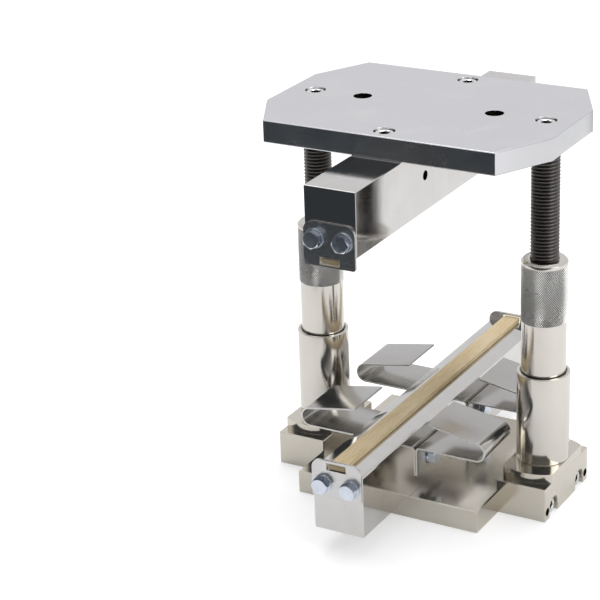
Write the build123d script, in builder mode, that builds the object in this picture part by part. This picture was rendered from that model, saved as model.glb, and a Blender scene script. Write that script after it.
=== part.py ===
from build123d import *
import os
from math import cos, radians, sin

# Splitting-tensile jig. X runs from column to column, Y along the loading bars, Z up.
# The origin is on the floor, midway between the columns. Lengths are in millimetres.

# Loading bars, ground flat on one side and crowned on the other
bar_width = 45.0
bar_height = 57.0
bar_length = 334.0
crown_radius = 75.0
bar_edge = 0.5
side_hole_height = 23.2
side_hole_spacing = 100.0

# Packing strips, held by their ends in the windows of the stop plates
strip_width = 15.0
strip_thickness = 4.0
strip_setback = 0.8
strip_gap = 173.0

# Stop plates on the bars' ends
stop_thickness = 2.5
stop_edge = 0.3
stop_round = 8.0
stop_corner = 2.0
stop_bolt_spacing = 25.2
window_side_play = 1.25
window_lift_play = 1.1
upper_stop_height = 36.0
upper_stop_rim = 1.4
upper_stop_bolt_offset = 18.2
lower_stop_height = 33.0
lower_stop_rim = 2.0
lower_stop_bolt_offset = 16.0

# Base plate and columns
base_thickness = 20.0
base_width = 173.0
base_edge = 1.0
column_spacing = 210.0
lower_bar_screw_spacing = 120.0

# Foot blocks, each with a round boss cut off by the block's own sides
foot_height = 30.0
foot_edge = 0.5
foot_lap = 1.75
foot_floor = 8.0
boss_radius = 38.0
boss_height = 8.0
pocket_play = 2.1
pocket_recess = 2.0
foot_screw_height = 7.5
foot_screw_wall = 5.0
dowel_diameter = 6.0
dowel_wall = 0.9
dowel_to_foot_end = 5.0
dowel_recess = 15.0
dowel_depth = 15.0

# Threaded rods, drawn at the outer diameter of the thread
rod_diameter = 23.8
rod_length = 160.0
rod_chamfer = 1.5

# Adjusting nuts, knurled above and plain below, running free of the rods below the thread
rod_play = 1.1
nut_wall = 5.7
nut_length = 142.5
knurl_length = 51.5
knurl_rise = 0.7
nut_top_chamfer = 2.0
nut_edge = 0.6

# Column sleeves, with a spigot in the foot and a shoulder that stops the lifter
sleeve_wall = 2.0
sleeve_length = 79.0
sleeve_edge = 0.5
shoulder_step = 1.55
spigot_step = 0.5
spigot_length = 18.0
mouth_play = 1.1
mouth_depth = 4.0

# Column springs of flat wire, lifters and thrust washers
spring_length = 57.0
spring_step = 2.75
wire_width = 4.5
wire_height = 4.0
spring_turns = 5.0
press_travel = 25.0
lifter_height = 8.0
washer_thickness = 1.5
washer_step = 0.7

# Top plate, a rectangle with four clipped corners
plate_width = 182.0
plate_thickness = 19.0
plate_clip_x = 26.0
plate_clip_y = 51.0
plate_edge = 0.8
rod_to_plate_end = 23.5
screw_to_plate_side = 15.0
plain_hole_spacing = 120.0
plain_hole_diameter = 15.5

# Hairpin springs of bent sheet, one flange on the bar's side and a rising free leaf
leaf_thickness = 1.5
leaf_width = 50.0
flange_foot_height = 14.0
leaf_height = 39.5
leaf_bend_radius = 3.0
loop_radius = 8.0
loop_reach = 86.5
leaf_rise = 10.0
leaf_tip_reach = 34.0

# Fasteners
m10_diameter = 10.0
m10_head_diameter = 16.0
m10_head_height = 10.0
m10_socket = 8.0
m10_counterbore_play = 0.8
m10_head_recess = 1.2
m10_length = 30.0
m8_diameter = 8.0
m8_cap_head_diameter = 13.0
m8_cap_head_height = 8.0
m8_socket = 6.0
m8_across_flats = 13.0
m8_head_height = 5.3
m8_washer_diameter = 16.0
m8_washer_thickness = 1.6
m8_bolt_length = 16.0
m8_hole_depth = 16.0
foot_screw_depth = 18.0
socket_depth_share = 0.5
upper_stop_bolt_turns = (30.0, 0.0, 17.0, 41.0)
lower_stop_bolt_turns = (6.0, 20.0, 52.0, 33.0)
hairpin_bolt_turns = (14.0, 38.0, 27.0, 3.0)
hole_play = 0.5
tap_spare = 5.0

# Clearances in radius
running_fit = 0.05
locating_fit = 0.02
thread_fit = 0.1

# Diameters of the columns, each from the one inside it
rod_passage = rod_diameter + 2 * rod_play
shank_diameter = rod_passage + 2 * nut_wall
knurl_diameter = shank_diameter + 2 * knurl_rise
mouth_diameter = shank_diameter + 2 * mouth_play
lifter_bore = shank_diameter + 2 * shoulder_step
sleeve_diameter = lifter_bore + 2 * sleeve_wall
spigot_diameter = lifter_bore - 2 * spigot_step
spring_diameter = lifter_bore - 2 * spring_step
spring_bore = spring_diameter + 2 * hole_play
washer_diameter = shank_diameter - 2 * washer_step

# Openings and spacings that follow from what passes through them
window_width = strip_width + 2 * window_side_play
window_height = strip_thickness + 2 * window_lift_play
m10_counterbore = m10_head_diameter + 2 * m10_counterbore_play
m10_counterbore_depth = m10_head_height + m10_head_recess
pocket_radius = m8_cap_head_diameter / 2 + pocket_play
pocket_depth = m8_cap_head_height + pocket_recess
tapped_m8 = m8_diameter + 2 * locating_fit
tapped_m10 = m10_diameter + 2 * locating_fit
fitted_dowel = dowel_diameter + 2 * locating_fit
dowel_hole_diameter = dowel_diameter + 2 * hole_play
foot_screw_spacing = spring_bore + m8_diameter + 2 * foot_screw_wall
dowel_spacing = foot_screw_spacing + 2 * (pocket_radius + dowel_wall) + dowel_hole_diameter
foot_length = dowel_spacing + 2 * dowel_to_foot_end
plate_length = column_spacing + 2 * rod_to_plate_end
upper_bar_screw_spacing = plate_width - 2 * screw_to_plate_side

# Heights and places that follow from the sizes above
column_x = column_spacing / 2
foot_width = sleeve_diameter
foot_inner_x = column_x - foot_width / 2
foot_outer_x = column_x + foot_width / 2
base_half_length = foot_inner_x + foot_lap
boss_top = foot_height + boss_height
sleeve_top = boss_top + sleeve_length
lifter_bottom = foot_floor + spring_length
lifter_top = lifter_bottom + lifter_height
nut_bottom = lifter_top + washer_thickness
nut_top = nut_bottom + nut_length
knurl_bottom = nut_top - knurl_length
lower_strip_bottom = base_thickness + bar_height
lower_strip_top = lower_strip_bottom + strip_thickness
upper_strip_bottom = lower_strip_top + strip_gap
plate_bottom = upper_strip_bottom + strip_thickness + bar_height
plate_top = plate_bottom + plate_thickness
bar_end = bar_length / 2
stop_face = bar_end + stop_thickness
side_hole_y = side_hole_spacing / 2

os.makedirs("parts", exist_ok=True)


def save(piece, name):
    piece.part.label = name
    export_step(piece.part, f"parts/{name}.step")


def up(x, y, z):
    """A plane that faces up at this place."""
    return Plane(origin=(x, y, z), x_dir=(1, 0, 0), z_dir=(0, 0, 1))


def down(x, y, z):
    """A plane that faces down at this place."""
    return Plane(origin=(x, y, z), x_dir=(1, 0, 0), z_dir=(0, 0, -1))


def along_y(x, y, z, way):
    """A plane that faces along Y, way +1 to the rear and -1 to the front."""
    return Plane(origin=(x, y, z), x_dir=(-way, 0, 0), z_dir=(0, way, 0))


def along_x(x, y, z, way):
    """A plane that faces along X, way +1 to the right and -1 to the left."""
    return Plane(origin=(x, y, z), x_dir=(0, way, 0), z_dir=(way, 0, 0))


def bore(seats, diameter, depth):
    """Round holes that go down from each seat plane, in the part being built."""
    with Locations(*seats):
        Hole(diameter / 2, depth)


# Fasteners, each group made of separate solids


def cap_screws(seats, diameter, length, head_diameter, head_height, socket):
    """Socket cap screws, each head standing on its seat plane."""
    with BuildPart() as screws:
        for seat in seats:
            with BuildSketch(seat):
                Circle(head_diameter / 2)
            extrude(amount=head_height)
            with BuildSketch(seat):
                Circle(diameter / 2)
            extrude(amount=-length)
            with BuildSketch(seat.offset(head_height)):
                RegularPolygon(socket / 2, 6, major_radius=False)
            extrude(amount=-head_height * socket_depth_share, mode=Mode.SUBTRACT)
    return screws


def hex_bolts(seats, turns):
    """Hexagon bolts, each head standing on its seat plane and tightened to its own angle."""
    with BuildPart() as bolts:
        for seat, turn in zip(seats, turns):
            with BuildSketch(seat):
                RegularPolygon(m8_across_flats / 2, 6, major_radius=False, rotation=turn)
            extrude(amount=m8_head_height)
            with BuildSketch(seat):
                Circle(m8_diameter / 2)
            extrude(amount=-m8_bolt_length)
    return bolts


def washers(seats):
    """Plain washers, each lying on its seat plane."""
    with BuildPart() as rings:
        for seat in seats:
            with BuildSketch(seat):
                Circle(m8_washer_diameter / 2)
                Circle(m8_diameter / 2 + hole_play / 2, mode=Mode.SUBTRACT)
            extrude(amount=m8_washer_thickness)
    return rings


def raised(seats, height):
    """The same seat planes, moved out along their normals."""
    return [seat.offset(height) for seat in seats]


# Base plate, with the lower bar's screws let in from below

lower_bar_screw_ys = (-lower_bar_screw_spacing / 2, lower_bar_screw_spacing / 2)
foot_screw_ys = (-foot_screw_spacing / 2, foot_screw_spacing / 2)
dowel_ys = (-dowel_spacing / 2, dowel_spacing / 2)
sides = (-1, 1)

with BuildPart() as base_plate:
    with BuildSketch(Plane.XY):
        Rectangle(2 * base_half_length, base_width)
    extrude(amount=base_thickness)
    chamfer(base_plate.edges().group_by(Axis.Z)[-1], base_edge)
    chamfer(base_plate.edges().filter_by(Axis.Z), foot_edge)
    bore([down(0, y, 0) for y in lower_bar_screw_ys], m10_counterbore, m10_counterbore_depth)
    bore([down(0, y, 0) for y in lower_bar_screw_ys], m10_diameter + 2 * hole_play, base_thickness)
    for side in sides:
        screw_holes = [along_x(side * base_half_length, y, foot_screw_height, side) for y in foot_screw_ys]
        bore(screw_holes, tapped_m8, foot_screw_depth + tap_spare)
        dowel_holes = [along_x(side * base_half_length, y, foot_screw_height, side) for y in dowel_ys]
        bore(dowel_holes, fitted_dowel, dowel_depth)
save(base_plate, "base_plate")

lower_bar_seats = [down(0, y, m10_counterbore_depth) for y in lower_bar_screw_ys]
lower_bar_screws = cap_screws(
    lower_bar_seats, m10_diameter, m10_length, m10_head_diameter, m10_head_height, m10_socket
)
save(lower_bar_screws, "lower_bar_screws")

# Foot blocks. The right one is drawn, and the left one is its mirror image.

with BuildPart() as right_foot:
    with BuildSketch(up(column_x, 0, 0)):
        Rectangle(foot_width, foot_length)
    extrude(amount=foot_height)
    chamfer(right_foot.edges().filter_by(Axis.Z), foot_edge)
    chamfer(right_foot.faces().sort_by(Axis.Z)[-1].edges(), foot_edge)
    with BuildSketch(up(column_x, 0, foot_height)):
        Circle(boss_radius)
        Rectangle(foot_width, foot_length, mode=Mode.INTERSECT)
    extrude(amount=boss_height)
    with BuildSketch(up(foot_inner_x, 0, 0)):
        Rectangle(2 * foot_lap, foot_length)
    extrude(amount=base_thickness, mode=Mode.SUBTRACT)
    bore([up(column_x, 0, boss_top)], spigot_diameter + 2 * locating_fit, spigot_length)
    bore([up(column_x, 0, boss_top)], spring_bore, boss_top - foot_floor)
    foot_screw_axes = [along_x(foot_outer_x, y, foot_screw_height, 1) for y in foot_screw_ys]
    for axis_plane in foot_screw_axes:
        with BuildSketch(axis_plane):
            Circle(pocket_radius)
            with Locations((0, -foot_screw_height / 2)):
                Rectangle(2 * pocket_radius, foot_screw_height)
        extrude(amount=-pocket_depth, mode=Mode.SUBTRACT)
    bore(foot_screw_axes, m8_diameter + 2 * hole_play, foot_width)
    dowel_axes = [along_x(foot_outer_x, y, foot_screw_height, 1) for y in dowel_ys]
    bore(dowel_axes, dowel_hole_diameter, dowel_recess)
    bore(dowel_axes, fitted_dowel, foot_width)
save(right_foot, "right_foot")

with BuildPart() as left_foot:
    mirror(right_foot.part, about=Plane.YZ)
save(left_foot, "left_foot")

foot_screw_seats = [
    along_x(side * (foot_outer_x - pocket_depth), y, foot_screw_height, side)
    for side in sides
    for y in foot_screw_ys
]
foot_screw_length = foot_outer_x - pocket_depth - base_half_length + foot_screw_depth
foot_screws = cap_screws(
    foot_screw_seats, m8_diameter, foot_screw_length, m8_cap_head_diameter, m8_cap_head_height, m8_socket
)
save(foot_screws, "foot_screws")

with BuildPart() as foot_dowels:
    for side in sides:
        for y in dowel_ys:
            with BuildSketch(along_x(side * (foot_outer_x - dowel_recess), y, foot_screw_height, side)):
                Circle(dowel_diameter / 2)
            extrude(amount=-(foot_outer_x - dowel_recess - base_half_length + dowel_depth))
save(foot_dowels, "foot_dowels")

# Loading bars


def loading_bar(flat_z, way):
    """One bar with its flat face at flat_z and its crown up, way +1, or down, way -1."""
    side_height = bar_height - crown_radius + (crown_radius**2 - (bar_width / 2) ** 2) ** 0.5
    with BuildPart() as bar:
        with BuildSketch(Plane(origin=(0, 0, flat_z), x_dir=(1, 0, 0), z_dir=(0, -way, 0))):
            with BuildLine():
                Polyline(
                    (-bar_width / 2, side_height),
                    (-bar_width / 2, 0),
                    (bar_width / 2, 0),
                    (bar_width / 2, side_height),
                )
                ThreePointArc(
                    (bar_width / 2, side_height), (0, bar_height), (-bar_width / 2, side_height)
                )
            make_face()
        extrude(amount=bar_end, both=True)
        long_edges = bar.edges().filter_by(Axis.Y)
        chamfer(long_edges, bar_edge)
        end_faces = bar.faces().filter_by(Axis.Y)
        chamfer(end_faces.edges(), bar_edge)
        hole_z = flat_z + way * side_hole_height
        for side in sides:
            for y in (-side_hole_y, side_hole_y):
                side_hole = along_x(side * bar_width / 2, y, hole_z, side)
                bore([side_hole], tapped_m8, m8_hole_depth)
    return bar


def stop_seats(face_y, bolt_z):
    """Seats of the four bolts that hold a bar's two stop plates, at this distance from the middle."""
    half = stop_bolt_spacing / 2
    return [along_y(x, way * face_y, bolt_z, way) for way in sides for x in (-half, half)]


lower_strip_middle = (lower_strip_bottom + lower_strip_top) / 2
upper_strip_middle = upper_strip_bottom + strip_thickness / 2
lower_stop_bolt_z = lower_strip_middle - lower_stop_bolt_offset
upper_stop_bolt_z = upper_strip_middle + upper_stop_bolt_offset

lower_bar = loading_bar(base_thickness, 1)
with lower_bar:
    lower_screw_reach = m10_length - (base_thickness - m10_counterbore_depth) + tap_spare
    bore([down(0, y, base_thickness) for y in lower_bar_screw_ys], tapped_m10, lower_screw_reach)
    bore(stop_seats(bar_end, lower_stop_bolt_z), tapped_m8, m8_hole_depth)
save(lower_bar, "lower_bar")

upper_bar_screw_ys = (-upper_bar_screw_spacing / 2, upper_bar_screw_spacing / 2)
upper_bar = loading_bar(plate_bottom, -1)
with upper_bar:
    upper_screw_reach = m10_length - (plate_thickness - m10_counterbore_depth) + tap_spare
    bore([up(0, y, plate_bottom) for y in upper_bar_screw_ys], tapped_m10, upper_screw_reach)
    bore(stop_seats(bar_end, upper_stop_bolt_z), tapped_m8, m8_hole_depth)
save(upper_bar, "upper_bar")

# Packing strips

strip_length = 2 * (stop_face - strip_setback)
for name, strip_z in (("lower_strip", lower_strip_bottom), ("upper_strip", upper_strip_bottom)):
    with BuildPart() as strip:
        with BuildSketch(up(0, 0, strip_z)):
            Rectangle(strip_width, strip_length)
        extrude(amount=strip_thickness)
    save(strip, name)

# Stop plates: name, way along Y, lowest edge, height, window's middle, bolts' height

lower_stop_bottom = lower_strip_middle + window_height / 2 + lower_stop_rim - lower_stop_height
upper_stop_bottom = upper_strip_middle - window_height / 2 - upper_stop_rim
stop_plates = (
    ("lower_front_stop", -1, lower_stop_bottom, lower_stop_height, lower_strip_middle, lower_stop_bolt_z),
    ("lower_rear_stop", 1, lower_stop_bottom, lower_stop_height, lower_strip_middle, lower_stop_bolt_z),
    ("upper_front_stop", -1, upper_stop_bottom, upper_stop_height, upper_strip_middle, upper_stop_bolt_z),
    ("upper_rear_stop", 1, upper_stop_bottom, upper_stop_height, upper_strip_middle, upper_stop_bolt_z),
)
for name, way, stop_bottom, stop_height, window_z, bolt_z in stop_plates:
    with BuildPart() as stop_plate:
        with BuildSketch(along_y(0, way * bar_end, stop_bottom, way)) as stop_outline:
            with Locations((0, stop_height / 2)):
                Rectangle(bar_width, stop_height)
            fillet(stop_outline.vertices().group_by(Axis.Y)[-1], stop_round)
            fillet(stop_outline.vertices().group_by(Axis.Y)[0], stop_corner)
        extrude(amount=stop_thickness)
        chamfer(stop_plate.faces().filter_by(Axis.Y).sort_by(Axis.Y)[way].edges(), stop_edge)
        with BuildSketch(along_y(0, way * stop_face, window_z, way)):
            Rectangle(window_width, window_height)
        extrude(amount=-stop_thickness, mode=Mode.SUBTRACT)
        half = stop_bolt_spacing / 2
        clear_holes = [along_y(x, way * stop_face, bolt_z, way) for x in (-half, half)]
        bore(clear_holes, m8_diameter + 2 * hole_play, stop_thickness)
    save(stop_plate, name)

stop_bolt_groups = (
    ("lower", lower_stop_bolt_z, lower_stop_bolt_turns),
    ("upper", upper_stop_bolt_z, upper_stop_bolt_turns),
)
for level, bolt_z, turns in stop_bolt_groups:
    seats = stop_seats(stop_face, bolt_z)
    save(washers(seats), f"{level}_stop_washers")
    save(hex_bolts(raised(seats, m8_washer_thickness), turns), f"{level}_stop_bolts")

# Hairpin springs


def hairpin(side, y):
    """One spring of bent sheet, its flange on the bar's side and its free leaf pointing back in."""
    flange_x = bar_width / 2 + leaf_thickness / 2
    flange_z = base_thickness + flange_foot_height
    leaf_z = base_thickness + leaf_height
    loop_x = loop_reach - leaf_thickness / 2 - loop_radius
    loop_z = leaf_z + loop_radius
    lift = radians(leaf_rise)
    rise_x = loop_x + loop_radius * sin(lift)
    rise_z = loop_z + loop_radius * cos(lift)
    tip_z = rise_z + (rise_x - leaf_tip_reach) * sin(lift) / cos(lift)
    hole_z = base_thickness + side_hole_height
    with BuildPart() as spring:
        with BuildSketch(Plane(origin=(0, y, 0), x_dir=(side, 0, 0), z_dir=(0, -side, 0))):
            with BuildLine() as centre:
                Line((flange_x, flange_z), (flange_x, leaf_z - leaf_bend_radius))
                RadiusArc(centre.line @ 1, (flange_x + leaf_bend_radius, leaf_z), leaf_bend_radius)
                Line(centre.line @ 1, (loop_x, leaf_z))
                CenterArc((loop_x, loop_z), loop_radius, -90, 180 - leaf_rise)
                Line((rise_x, rise_z), (leaf_tip_reach, tip_z))
                offset(amount=leaf_thickness / 2, side=Side.BOTH, mode=Mode.REPLACE)
            make_face()
        extrude(amount=leaf_width / 2, both=True)
        bore([along_x(side * (flange_x + leaf_thickness / 2), y, hole_z, side)],
             m8_diameter + 2 * hole_play, leaf_thickness)
    return spring


for row, y in (("front", -side_hole_y), ("rear", side_hole_y)):
    for hand, side in (("left", -1), ("right", 1)):
        save(hairpin(side, y), f"{row}_{hand}_hairpin")

flange_face = bar_width / 2 + leaf_thickness
hairpin_seats = [
    along_x(side * flange_face, y, base_thickness + side_hole_height, side)
    for side in sides
    for y in (-side_hole_y, side_hole_y)
]
save(washers(hairpin_seats), "hairpin_washers")
save(hex_bolts(raised(hairpin_seats, m8_washer_thickness), hairpin_bolt_turns), "hairpin_bolts")

# Columns


def turned(x, points):
    """A turned part about the upright axis at x, from the corners of its half section."""
    with BuildPart() as part:
        with BuildSketch(Plane(origin=(x, 0, 0), x_dir=(1, 0, 0), z_dir=(0, -1, 0))):
            with BuildLine():
                Polyline(*points, close=True)
            make_face()
        revolve(axis=Axis((x, 0, 0), (0, 0, 1)))
    return part


sleeve_points = (
    (spring_bore / 2, boss_top - spigot_length),
    (spigot_diameter / 2, boss_top - spigot_length),
    (spigot_diameter / 2, boss_top),
    (sleeve_diameter / 2 - sleeve_edge, boss_top),
    (sleeve_diameter / 2, boss_top + sleeve_edge),
    (sleeve_diameter / 2, sleeve_top - sleeve_edge),
    (sleeve_diameter / 2 - sleeve_edge, sleeve_top),
    (mouth_diameter / 2, sleeve_top),
    (mouth_diameter / 2, sleeve_top - mouth_depth),
    (shank_diameter / 2 + running_fit, sleeve_top - mouth_depth),
    (shank_diameter / 2 + running_fit, lifter_top),
    (lifter_bore / 2, lifter_top),
    (lifter_bore / 2, lifter_bottom - press_travel - hole_play),
    (spring_bore / 2, lifter_bottom - press_travel - hole_play),
)
lifter_points = (
    (rod_passage / 2, lifter_bottom),
    (lifter_bore / 2 - running_fit, lifter_bottom),
    (lifter_bore / 2 - running_fit, lifter_top),
    (rod_passage / 2, lifter_top),
)
washer_points = (
    (rod_passage / 2, lifter_top),
    (washer_diameter / 2, lifter_top),
    (washer_diameter / 2, nut_bottom),
    (rod_passage / 2, nut_bottom),
)
nut_points = (
    (rod_passage / 2, nut_bottom),
    (shank_diameter / 2 - nut_edge, nut_bottom),
    (shank_diameter / 2, nut_bottom + nut_edge),
    (shank_diameter / 2, knurl_bottom),
    (knurl_diameter / 2, knurl_bottom + nut_edge),
    (knurl_diameter / 2, nut_top - nut_top_chamfer),
    (knurl_diameter / 2 - nut_top_chamfer, nut_top),
    (rod_diameter / 2 + thread_fit, nut_top),
    (rod_diameter / 2 + thread_fit, knurl_bottom),
    (rod_passage / 2, knurl_bottom),
)

for hand, side in (("left", -1), ("right", 1)):
    x = side * column_x
    save(turned(x, sleeve_points), f"{hand}_sleeve")
    save(turned(x, lifter_points), f"{hand}_lifter")
    save(turned(x, washer_points), f"{hand}_thrust_washer")
    save(turned(x, nut_points), f"{hand}_nut")

    with BuildPart() as column_spring:
        coil_radius = (spring_diameter - wire_width) / 2
        coil_rise = spring_length - wire_height
        with BuildLine() as coil:
            Helix(
                pitch=coil_rise / spring_turns,
                height=coil_rise,
                radius=coil_radius,
                center=(x, 0, foot_floor + wire_height / 2),
            )
        with BuildSketch(Plane(origin=coil.line @ 0, x_dir=(1, 0, 0), z_dir=(0, 1, 0))):
            Rectangle(wire_width, wire_height)
        sweep(is_frenet=True)
    save(column_spring, f"{hand}_column_spring")

    with BuildPart() as rod:
        with BuildSketch(down(x, 0, plate_bottom)):
            Circle(rod_diameter / 2)
        extrude(amount=rod_length)
        chamfer(rod.edges().sort_by(Axis.Z)[0], rod_chamfer)
        rod_screw_reach = m10_length - (plate_thickness - m10_counterbore_depth) + tap_spare
        bore([up(x, 0, plate_bottom)], tapped_m10, rod_screw_reach)
    save(rod, f"{hand}_rod")

# Top plate and its screws

with BuildPart() as top_plate:
    half_length = plate_length / 2
    half_width = plate_width / 2
    with BuildSketch(up(0, 0, plate_bottom)):
        with BuildLine():
            Polyline(
                (half_length - plate_clip_x, -half_width),
                (half_length, plate_clip_y - half_width),
                (half_length, half_width - plate_clip_y),
                (half_length - plate_clip_x, half_width),
                (plate_clip_x - half_length, half_width),
                (-half_length, half_width - plate_clip_y),
                (-half_length, plate_clip_y - half_width),
                (plate_clip_x - half_length, -half_width),
                close=True,
            )
        make_face()
    extrude(amount=plate_thickness)
    chamfer(top_plate.faces().filter_by(Axis.Z).edges(), plate_edge)
    screw_places = [(0, y) for y in upper_bar_screw_ys] + [(side * column_x, 0) for side in sides]
    with Locations([up(x, y, plate_top) for x, y in screw_places]):
        CounterBoreHole(m10_diameter / 2 + hole_play, m10_counterbore / 2, m10_counterbore_depth)
    with Locations([up(side * plain_hole_spacing / 2, 0, plate_top) for side in sides]):
        Hole(plain_hole_diameter / 2)
save(top_plate, "top_plate")

screw_seat_z = plate_top - m10_counterbore_depth
upper_bar_seats = [up(0, y, screw_seat_z) for y in upper_bar_screw_ys]
rod_seats = [up(side * column_x, 0, screw_seat_z) for side in sides]
m10_sizes = (m10_diameter, m10_length, m10_head_diameter, m10_head_height, m10_socket)
save(cap_screws(upper_bar_seats, *m10_sizes), "upper_bar_screws")
save(cap_screws(rod_seats, *m10_sizes), "rod_screws")
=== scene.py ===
import math

import bmesh
import bpy
from mathutils import Matrix, Vector


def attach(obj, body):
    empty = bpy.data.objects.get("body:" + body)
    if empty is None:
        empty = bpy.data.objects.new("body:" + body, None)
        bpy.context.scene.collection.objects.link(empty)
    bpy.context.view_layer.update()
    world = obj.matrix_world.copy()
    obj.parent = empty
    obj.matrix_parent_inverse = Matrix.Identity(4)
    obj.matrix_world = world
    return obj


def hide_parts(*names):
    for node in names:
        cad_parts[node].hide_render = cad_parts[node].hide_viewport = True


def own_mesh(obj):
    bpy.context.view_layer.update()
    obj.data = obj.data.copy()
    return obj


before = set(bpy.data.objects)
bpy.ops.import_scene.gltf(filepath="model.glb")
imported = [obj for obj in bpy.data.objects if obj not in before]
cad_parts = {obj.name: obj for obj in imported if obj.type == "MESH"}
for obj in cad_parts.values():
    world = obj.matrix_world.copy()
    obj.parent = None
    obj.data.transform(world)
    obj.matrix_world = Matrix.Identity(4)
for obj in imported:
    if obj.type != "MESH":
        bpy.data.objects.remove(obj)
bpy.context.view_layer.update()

# Splitting-tensile jig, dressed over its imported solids. Sizes below are in millimetres.
# X runs from column to column, Y along the loading bars, Z up.

MM = 0.001
SIDES = (-1, 1)
HANDS = (("left", -1), ("right", 1))

# Sleeves and lifters, from the foot up
COLUMN_X = 105.0
FOOT_FLOOR = 8.0
SPIGOT_BOTTOM = 20.0
SPIGOT_RADIUS = 19.75
SPRING_BORE = 18.0
BOSS_TOP = 38.0
LIFTER_BORE = 20.25
LIFTER_BORE_BOTTOM = 39.5
LIFTER_RADIUS = 20.2
LIFTER_BOTTOM = 65.0
LIFTER_TOP = 73.0
THRUST_RADIUS = 18.0
SHOULDER_RADIUS = 18.75
MOUTH_RADIUS = 19.8
MOUTH_BOTTOM = 113.0
SLEEVE_RADIUS = 22.25
SLEEVE_EDGE = 0.5
SLEEVE_TOP = 117.0

# Column springs of flat wire
COIL_TURNS = 5.0
COIL_RADIUS = 15.25
COIL_LENGTH = LIFTER_BOTTOM - FOOT_FLOOR
WIRE_WIDTH = 4.5
WIRE_HEIGHT = 4.0

# Adjusting nuts
NUT_BOTTOM = 74.5
NUT_EDGE = 0.6
NUT_TOP = 217.0
NUT_CHAMFER = 2.0
SHANK_RADIUS = 18.7
ROD_PASSAGE = 13.0
THREAD_BORE = 12.0
THREAD_START = 165.5
KNURL_RADIUS = 19.4
KNURL_START = 162.7
KNURL_END = 212.4
KNURL_DEPTH = 0.6
KNURL_PITCH = 2.17
KNURL_WALL = 1.4
DIAMONDS_ROUND = 66
STEPS_PER_DIAMOND = 6

# Rods and top plate
ROD_RADIUS = 11.9
ROD_BOTTOM = 155.0
THREAD_PITCH = 3.0
THREAD_DEPTH = 1.75
PLATE_BOTTOM = 315.0
PLATE_TOP = 334.0
PLATE_HOLE_X = 60.0
PLATE_HOLE_RADIUS = 7.75

# Hexagon bolts and washers
M8_RADIUS = 4.0
M8_FLATS = 13.0
M8_HEAD = 5.3
M8_WASHER = 1.6
M8_LENGTH = 16.0
STOP_FACE = 169.5
LOWER_STOP_BOLT_Z = 63.0
UPPER_STOP_BOLT_Z = 274.2
STOP_BOLT_HALF = 12.6
HAIRPIN_BOLT_Z = 43.2
HAIRPIN_FACE = 24.0
HAIRPIN_Y = 50.0

# Cap screws, and the other holes of the bars and feet
COUNTERBORE_DEPTH = 11.2
UPPER_BAR_SCREW_Y = 76.0
LOWER_BAR_SCREW_Y = 60.0
FOOT_SCREW_X = 117.25
FOOT_SCREW_Y = 27.0
FOOT_END = 127.25
FOOT_HOLE_Z = 7.5
DOWEL_Y = 40.0
DOWEL_HOLE_RADIUS = 3.5
BAR_SIDE = 22.5
UPPER_SIDE_HOLE_Z = 291.8
SIDE_HOLE_RADIUS = 4.1

# Hairpin springs of bent strip
STRIP_HALF = 0.75
STRIP_HALF_WIDTH = 25.0
STRIP_HOLE_RADIUS = 4.5
FLANGE_X = 23.25
FLANGE_BOTTOM = 34.0
FLANGE_MIDDLE = 45.0
LEAF_Z = 59.5
LEAF_MIDDLE = 50.0
BEND_RADIUS = 3.0
LOOP_RADIUS = 8.0
LOOP_X = 86.5 - STRIP_HALF - LOOP_RADIUS
LEAF_LIFT = math.radians(10.0)
TIP_X = 34.0


# Mesh helpers


def add_object(name, mesh):
    piece = bpy.data.objects.new(name, mesh)
    bpy.context.scene.collection.objects.link(piece)
    return piece


def mesh_from(bm, name):
    mesh = bpy.data.meshes.new(name)
    bm.to_mesh(mesh)
    bm.free()
    return mesh


def face_outwards(bm):
    bmesh.ops.recalc_face_normals(bm, faces=bm.faces)


def reshape(piece, change):
    """Runs change on the piece's mesh."""
    bm = bmesh.new()
    bm.from_mesh(piece.data)
    change(bm)
    bm.to_mesh(piece.data)
    bm.free()


def ring_of(bm, count, point_at, x=0.0):
    """A ring of vertices about an upright axis. point_at gives the radius and height at an angle."""
    ring = []
    for i in range(count):
        angle = 2 * math.pi * i / count
        r, z = point_at(angle, i)
        ring.append(bm.verts.new(Vector((x + r * math.cos(angle), r * math.sin(angle), z)) * MM))
    return ring


def even(radius, z):
    return lambda angle, i: (radius, z)


def hexagon_wall(flats, angle):
    """How far out the wall of a hexagon lies at this angle."""
    part = (angle + math.pi / 6) % (math.pi / 3) - math.pi / 6
    return flats / 2 / math.cos(part)


def bridge(bm, low, high):
    """Faces between two rings of as many vertices."""
    for i in range(len(low)):
        k = (i + 1) % len(low)
        bm.faces.new((low[i], low[k], high[k], high[i]))


def skin(bm, rings):
    """A closed skin over rings that go from one end to the other."""
    for low, high in zip(rings, rings[1:]):
        bridge(bm, low, high)
    bm.faces.new(rings[-1])
    bm.faces.new(list(reversed(rings[0])))


def shade_by_angle(mesh, degrees):
    """Smooth shading with sharp edges where two faces meet at more than this angle."""
    for polygon in mesh.polygons:
        polygon.use_smooth = True
    mesh.set_sharp_from_angle(angle=math.radians(degrees))


def baked(piece):
    """The piece with its modifiers made into a plain mesh."""
    graph = bpy.context.evaluated_depsgraph_get()
    mesh = bpy.data.meshes.new_from_object(piece.evaluated_get(graph))
    mesh.name = piece.name
    piece.modifiers.clear()
    piece.data = mesh
    return piece


def give(piece, body, slot, material, *nodes):
    """Finish, body and the solids that the piece stands for. The record slot is not used."""
    piece.data.materials.clear()
    piece.data.materials.append(material)
    if nodes:
        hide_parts(*nodes)
    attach(piece, body)
    return piece


def repaint(piece, material, chosen):
    """Gives one more material to the faces that chosen(centre, normal) picks, in millimetres."""
    piece.data.materials.append(material)
    index = len(piece.data.materials) - 1
    for face in piece.data.polygons:
        if chosen(face.center / MM, face.normal):
            face.material_index = index


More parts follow.
